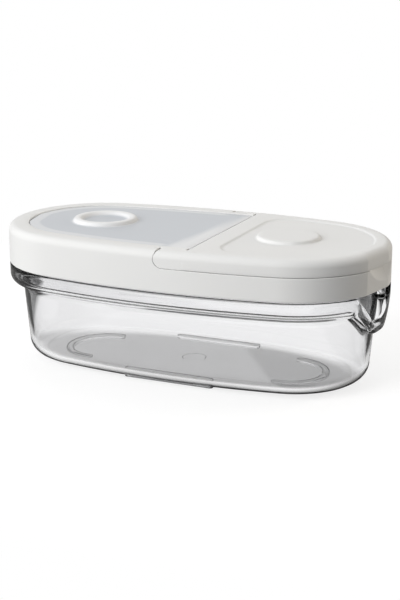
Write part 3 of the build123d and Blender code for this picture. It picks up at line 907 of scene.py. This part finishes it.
def floor_material():
    """Grey to the light; seen directly it glows up to white, and through the plastic rather less, a
    painted shadow of the tub, and least under the flap's half, a painted shadow of the flap. Away
    from the object both fade into the white of the backdrop, which is dark to the sides where it is
    seen through the plastic."""
    material = bpy.data.materials.new("pale floor")
    material.use_nodes = True
    tree = material.node_tree
    shader = tree.nodes["Principled BSDF"]
    shader.inputs["Base Color"].default_value = (0.3, 0.3, 0.3, 1)
    shader.inputs["Roughness"].default_value = 0.8
    shader.inputs["Specular IOR Level"].default_value = 0.1
    shader.inputs["Emission Color"].default_value = (1, 1, 1, 1)
    path = tree.nodes.new("ShaderNodeLightPath").outputs
    seen, through = path["Is Camera Ray"], path["Is Transmission Ray"]
    place = tree.nodes.new("ShaderNodeTexCoord").outputs["Object"]
    squeezed = vector_maths(tree, "MULTIPLY", place, (0.39, 1.0, 1.0)).outputs["Vector"]
    away = vector_maths(tree, "LENGTH", squeezed).outputs["Value"]
    # painted shadow of the flap: the glow seen through the plastic drops past this slanted line
    under_flap = vector_maths(tree, "DOT_PRODUCT", place, (1.0, 0.7, 0.0)).outputs["Value"]
    glow = smooth_step(tree, under_flap, *FLAP_SHADE, TUB_SHADOW_GLOW, FLAP_SHADOW_GLOW)
    glows = maths(tree, "MULTIPLY", seen, DIRECT_GLOW), maths(tree, "MULTIPLY", through, glow)
    tree.links.new(maths(tree, "MAXIMUM", *glows), shader.inputs["Emission Strength"])
    shown = maths(tree, "MULTIPLY", smooth_step(tree, away, *FADE_SEEN), seen)
    passed = maths(tree, "MULTIPLY", smooth_step(tree, away, *FADE_THROUGH), through)
    aside = vector_maths(tree, "DOT_PRODUCT", place, SIDEWAYS).outputs["Value"]
    middle = smooth_step(tree, maths(tree, "ABSOLUTE", aside), *DARK_SIDES, 1.0, 0.02)
    backdrop = tree.nodes.new("ShaderNodeEmission")
    tree.links.new(maths(tree, "MAXIMUM", seen, middle), backdrop.inputs["Strength"])
    mix = tree.nodes.new("ShaderNodeMixShader")
    tree.links.new(maths(tree, "MAXIMUM", shown, passed), mix.inputs[0])
    tree.links.new(shader.outputs[0], mix.inputs[1])
    tree.links.new(backdrop.outputs[0], mix.inputs[2])
    tree.links.new(mix.outputs[0], tree.nodes["Material Output"].inputs["Surface"])
    return material


def pale_stage():
    """A large disc just under the feet."""
    turn = np.linspace(0, 2 * np.pi, 64, endpoint=False)
    mesh = bpy.data.meshes.new("floor")
    mesh.from_pydata(
        np.stack([FLOOR_RADIUS * np.cos(turn), FLOOR_RADIUS * np.sin(turn),
                  np.full(64, low.z - FLOOR_DROP)], axis=-1),
        [], [list(range(64))],
    )
    floor = bpy.data.objects.new("floor", mesh)
    bpy.context.scene.collection.objects.link(floor)
    mesh.materials.append(floor_material())


pale_stage()
print("floor at z", round(low.z - FLOOR_DROP, 5), "m")


# %% world and lamps
def facing_part(tree, direction, flat=True):
    """How far a ray points along a level direction: one straight along it, less to its sides. A
    flat measure leaves out how steeply the ray goes."""
    place = tree.nodes.new("ShaderNodeTexCoord").outputs["Generated"]
    level = vector_maths(tree, "MULTIPLY", place, (1, 1, 0 if flat else 1)).outputs["Vector"]
    unit = vector_maths(tree, "NORMALIZE", level).outputs["Vector"]
    return vector_maths(tree, "DOT_PRODUCT", unit, direction).outputs["Value"]


def white_world():
    """A white backdrop behind the object, a pale one in front and a dark room beside it, for what
    is seen through the plastic or mirrored in it. The light is soft and grey from all sides but
    the front right."""
    world = bpy.data.worlds.new("soft room")
    bpy.context.scene.world = world
    world.use_nodes = True
    tree = world.node_tree
    light = tree.nodes["Background"]
    light.inputs["Color"].default_value = (1, 1, 1, 1)
    unlit = facing_part(tree, (0.87, -0.49, 0.0), flat=False)
    tree.links.new(smooth_step(tree, unlit, -0.2, 0.8, 0.68, 0.06), light.inputs["Strength"])
    backdrop = tree.nodes.new("ShaderNodeBackground")
    backdrop.inputs["Color"].default_value = (1, 1, 1, 1)
    path = tree.nodes.new("ShaderNodeLightPath").outputs
    behind = smooth_step(tree, facing_part(tree, BEHIND), 0.962, 0.985, 0.06, 1.0)
    in_front = smooth_step(tree, facing_part(tree, FRONT), 0.7, 0.97, 0.1, 0.75)
    both = maths(tree, "MAXIMUM", behind, in_front)
    tree.links.new(maths(tree, "MAXIMUM", both, path["Is Camera Ray"]), backdrop.inputs["Strength"])
    lit = tree.nodes.new("ShaderNodeMixShader")
    tree.links.new(path["Is Diffuse Ray"], lit.inputs[0])
    tree.links.new(backdrop.outputs[0], lit.inputs[1])
    tree.links.new(light.outputs[0], lit.inputs[2])
    tree.links.new(lit.outputs[0], tree.nodes["World Output"].inputs["Surface"])


def lamp(name, place, aim, size, watts, colour=(1, 1, 1)):
    """A square soft lamp at a place, pointed at a target; it isn't mirrored in the plastic."""
    data = bpy.data.lights.new(name, "AREA")
    data.color = colour
    data.size = size
    data.energy = watts
    thing = bpy.data.objects.new(name, data)
    thing.location = place
    thing.visible_glossy = False
    thing.visible_transmission = False
    thing.rotation_euler = (Vector(aim) - Vector(place)).to_track_quat("-Z", "Y").to_euler()
    bpy.context.scene.collection.objects.link(thing)


white_world()
AIM = (0, 0, 0.04)
lamp("key", (-0.75, -1.3, 0.8), AIM, size=1.0, watts=24.5)
lamp("right", (1.05, 0.9, 0.4), AIM, size=0.6, watts=9.0, colour=(1.0, 0.92, 0.8))

# %% [markdown]
# ## Camera
# A product camera with a long lens, turned a quarter of a right angle to the side and looking
# down at the lid. Its place is worked out from a yaw, a pitch and a distance.

# %% camera
YAW, PITCH, ROLL = 0.415, 0.271, -0.002
ASIDE, ALONG_UP, AWAY = -0.001636, -0.030788, 0.590912
LENS, SHIFT = 76.48, (0.00277, -0.00586)
right = np.array([np.cos(YAW), np.sin(YAW), 0])
ahead_line = np.array([-np.sin(YAW) * np.cos(PITCH), np.cos(YAW) * np.cos(PITCH), -np.sin(PITCH)])
up = np.cross(right, ahead_line)
right_rolled = np.cos(ROLL) * right + np.sin(ROLL) * up
up_rolled = -np.sin(ROLL) * right + np.cos(ROLL) * up
eye = -AWAY * ahead_line - ASIDE * right_rolled - ALONG_UP * up_rolled
camera_data = bpy.data.cameras.new("camera")
camera_data.lens, camera_data.sensor_width = LENS, 36
camera_data.shift_x, camera_data.shift_y = SHIFT
camera = bpy.data.objects.new("camera", camera_data)
camera.matrix_world = Matrix(
    [[right_rolled[k], up_rolled[k], -ahead_line[k], eye[k]] for k in range(3)] + [[0, 0, 0, 1]]
)
bpy.context.scene.collection.objects.link(camera)
bpy.context.scene.camera = camera
bpy.context.scene.view_settings.view_transform = "Standard"
print("camera at", [round(c, 3) for c in eye])
